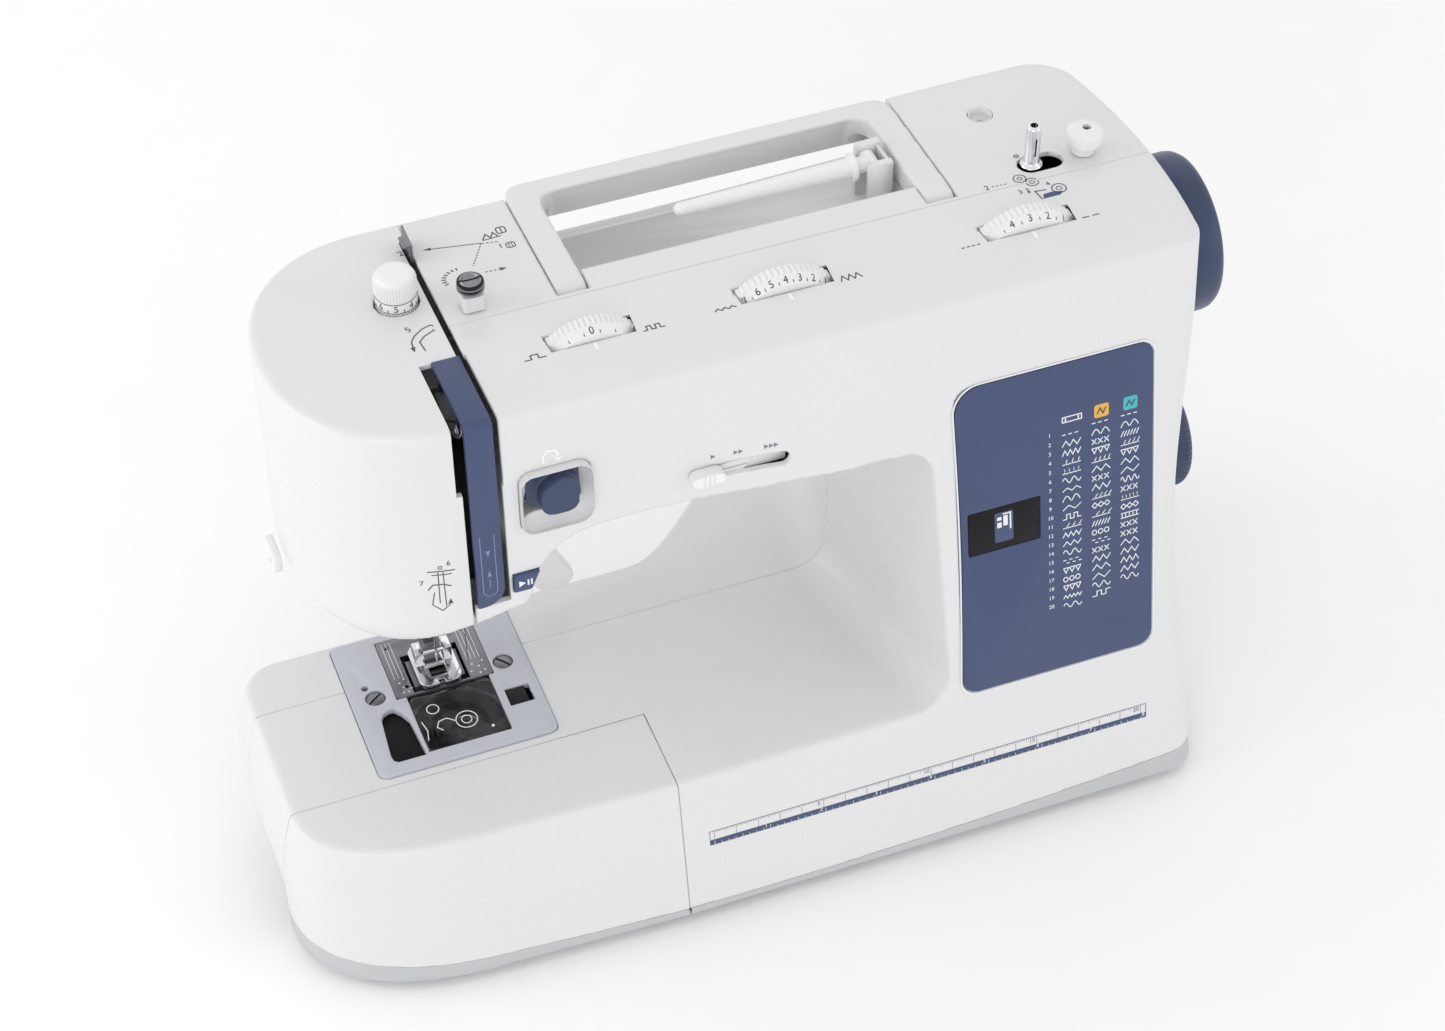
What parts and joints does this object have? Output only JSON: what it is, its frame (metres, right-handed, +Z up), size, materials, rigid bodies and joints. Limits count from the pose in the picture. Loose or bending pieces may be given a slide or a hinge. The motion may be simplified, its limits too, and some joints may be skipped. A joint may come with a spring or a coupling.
{
  "type": "sewing machine",
  "caption": "Domestic free-arm sewing machine with top dials, stitch chart panel, handwheel, folding handle and a sliding accessory box.",
  "frame": {"origin": "on the table, under the middle of the bounding box", "axes": "+X from the needle head to the handwheel, +Y to the back, +Z up"},
  "size_m": [0.428, 0.1938, 0.2873],
  "materials": {
    "casing_white": "satin moulded",
    "control_white": "smooth",
    "trim_grey": "satin moulded",
    "plate_grey": "satin painted",
    "panel_blue": "satin",
    "navy_plastic": "satin",
    "black_plastic": "satin",
    "foot_rubber": "matte",
    "steel": "brushed",
    "chrome": "polished",
    "cast_frame": "as cast",
    "belt_rubber": "matte",
    "clear_cover": "polished clear plastic",
    "window_black": "gloss",
    "board_green": "satin"
  },
  "bodies": {
    "machine": {"front_cover": "casing_white", "rear_cover": "casing_white", "face_cover": "casing_white", "base_tray": "trim_grey", "arm_under_cover": "casing_white", "foot_front_left": "foot_rubber", "foot_front_right": "foot_rubber", "foot_rear_left": "foot_rubber", "foot_rear_right": "foot_rubber", "pattern_panel": "panel_blue", "display_window": "window_black", "needle_plate_cover": "plate_grey", "stitch_plate": "steel", "plate_screw_left": "steel", "plate_screw_right": "steel", "bobbin_case": "black_plastic", "thread_guide_cover": "panel_blue", "upper_thread_guide": "steel", "pretension_guide": "chrome", "winder_stop": "control_white", "thread_cutter": "control_white", "lamp": "clear_cover", "timing_belt": "belt_rubber", "drive_belt": "belt_rubber", "motor": "steel", "machine_frame": "cast_frame", "circuit_board": "board_green", "power_inlet": "black_plastic"},
    "accessory_box": {"accessory_box": "casing_white", "accessory_box_base": "trim_grey"},
    "main_drive": {"handwheel": "navy_plastic", "upper_shaft": "steel"},
    "lower_drive": {"lower_shaft": "steel"},
    "hook": {"hook_race": "steel"},
    "motor_rotor": {"motor_pulley": "steel"},
    "needle_group": {"needle_bar": "steel", "needle_clamp": "chrome", "needle": "chrome"},
    "presser_group": {"presser_bar": "steel", "foot_holder": "steel"},
    "presser_foot": {"presser_foot": "chrome"},
    "presser_lifter": {"presser_lifter": "trim_grey"},
    "take_up_lever": {"take_up_lever": "chrome"},
    "feed_dog": {"feed_dog": "steel"},
    "bobbin": {"bobbin": "clear_cover"},
    "bobbin_cover": {"bobbin_cover": "clear_cover"},
    "bobbin_cover_latch": {"bobbin_cover_latch": "black_plastic"},
    "tension_dial": {"tension_dial": "control_white"},
    "balance_dial": {"balance_dial": "control_white"},
    "stitch_width_dial": {"stitch_width_dial": "control_white"},
    "stitch_length_dial": {"stitch_length_dial": "control_white"},
    "reverse_lever": {"reverse_lever": "navy_plastic"},
    "start_stop_button": {"start_stop_button": "panel_blue"},
    "speed_slider": {"speed_slider": "control_white"},
    "carry_handle": {"carry_handle": "casing_white"},
    "spool_pin": {"spool_pin": "control_white"},
    "winder_carriage": {"winder_carriage": "black_plastic"},
    "winder_spindle": {"winder_spindle": "chrome"},
    "pattern_selector": {"pattern_selector": "navy_plastic"},
    "power_switch": {"power_switch": "black_plastic"}
  },
  "joints": [
    {"name": "handwheel_turn", "type": "hinge", "parent": "machine", "child": "main_drive", "pos_m": [0.19, 0.008, 0.227], "axis": [1, 0, 0], "continuous": true},
    {"name": "lower_shaft_turn", "type": "hinge", "parent": "machine", "child": "lower_drive", "pos_m": [0.03, 0.002, 0.045], "axis": [1, 0, 0], "continuous": true},
    {"name": "hook_spin", "type": "hinge", "parent": "machine", "child": "hook", "pos_m": [-0.125, -0.013, 0.055], "axis": [0, 0, 1], "continuous": true},
    {"name": "motor_spin", "type": "hinge", "parent": "machine", "child": "motor_rotor", "pos_m": [0.15, -0.025, 0.062], "axis": [1, 0, 0], "continuous": true},
    {"name": "needle_bar_slide", "type": "slide", "parent": "machine", "child": "needle_group", "axis": [0, 0, 1], "range_m": [-0.029, 0]},
    {"name": "presser_lift", "type": "hinge", "parent": "machine", "child": "presser_lifter", "pos_m": [-0.106, 0.036, 0.176], "axis": [0, -1, 0], "range_deg": [0, 45]},
    {"name": "presser_bar_slide", "type": "slide", "parent": "machine", "child": "presser_group", "axis": [0, 0, 1], "range_m": [0, 0.007]},
    {"name": "presser_foot_tilt", "type": "hinge", "parent": "presser_group", "child": "presser_foot", "pos_m": [-0.127, 0.0184, 0.0846], "axis": [1, 0, 0], "range_deg": [-2.5, 2.5]},
    {"name": "take_up_swing", "type": "hinge", "parent": "machine", "child": "take_up_lever", "pos_m": [-0.119, -0.008, 0.236], "axis": [1, 0, 0], "range_deg": [0, 40]},
    {"name": "feed_advance", "type": "slide", "parent": "machine", "child": "feed_dog", "axis": [0, 1, 0], "range_m": [-0.0025, 0.0025]},
    {"name": "bobbin_spin", "type": "hinge", "parent": "machine", "child": "bobbin", "pos_m": [-0.125, -0.013, 0.062], "axis": [0, 0, 1], "continuous": true},
    {"name": "bobbin_cover_lift", "type": "slide", "parent": "machine", "child": "bobbin_cover", "axis": [0, 0, 1], "range_m": [0, 0.012]},
    {"name": "bobbin_cover_release", "type": "slide", "parent": "machine", "child": "bobbin_cover_latch", "axis": [1, 0, 0], "range_m": [0, 0.002], "stiffness_N_per_m": 300},
    {"name": "tension_turn", "type": "hinge", "parent": "machine", "child": "tension_dial", "pos_m": [-0.1233, 0.039, 0.27], "axis": [0, 0, 1], "range_deg": [-150, 150]},
    {"name": "balance_turn", "type": "hinge", "parent": "machine", "child": "balance_dial", "pos_m": [-0.0592, -0.009, 0.24917], "axis": [0, 1, 0], "range_deg": [-120, 120]},
    {"name": "stitch_width_turn", "type": "hinge", "parent": "machine", "child": "stitch_width_dial", "pos_m": [0.0218, -0.009, 0.24706], "axis": [0, 1, 0], "range_deg": [-120, 120]},
    {"name": "stitch_length_turn", "type": "hinge", "parent": "machine", "child": "stitch_length_dial", "pos_m": [0.1275, -0.009, 0.24706], "axis": [0, 1, 0], "range_deg": [-120, 120]},
    {"name": "reverse_press", "type": "hinge", "parent": "machine", "child": "reverse_lever", "pos_m": [-0.0875, -0.021, 0.227], "axis": [1, 0, 0], "range_deg": [0, 12], "stiffness_Nm_per_rad": 0.2, "springref_deg": -5.73},
    {"name": "start_stop_press", "type": "slide", "parent": "machine", "child": "start_stop_button", "axis": [0, 1, 0], "range_m": [0, 0.0015], "stiffness_N_per_m": 300},
    {"name": "speed_slide", "type": "slide", "parent": "machine", "child": "speed_slider", "axis": [1, 0, 0], "range_m": [0, 0.027]},
    {"name": "handle_fold", "type": "hinge", "parent": "machine", "child": "carry_handle", "pos_m": [0.02325, 0.0255, 0.2606], "axis": [1, 0, 0], "range_deg": [0, 85]},
    {"name": "spool_pin_raise", "type": "hinge", "parent": "machine", "child": "spool_pin", "pos_m": [0.0868, 0.057, 0.262], "axis": [0, 1, 0], "range_deg": [0, 75]},
    {"name": "winder_shift", "type": "slide", "parent": "machine", "child": "winder_carriage", "axis": [1, 0, 0], "range_m": [0, 0.006]},
    {"name": "winder_spin", "type": "hinge", "parent": "winder_carriage", "child": "winder_spindle", "pos_m": [0.146, 0.027, 0.27], "axis": [0, 0, 1], "continuous": true},
    {"name": "pattern_turn", "type": "hinge", "parent": "machine", "child": "pattern_selector", "pos_m": [0.2, -0.006, 0.126], "axis": [1, 0, 0], "continuous": true},
    {"name": "power_rock", "type": "hinge", "parent": "machine", "child": "power_switch", "pos_m": [0.18, 0.048, 0.07], "axis": [0, -1, 0], "range_deg": [0, 8]},
    {"name": "accessory_box_slide", "type": "slide", "parent": "machine", "child": "accessory_box", "axis": [-1, 0, 0], "range_m": [0, 0.2]}
  ],
  "couplings": [
    {"joint": "lower_shaft_turn", "follows": "handwheel_turn", "ratio": 1},
    {"joint": "hook_spin", "follows": "handwheel_turn", "ratio": 2},
    {"joint": "motor_spin", "follows": "handwheel_turn", "ratio": 3.3333},
    {"joint": "presser_bar_slide", "follows": "presser_lift", "m_per_rad": 0.0089}
  ]
}
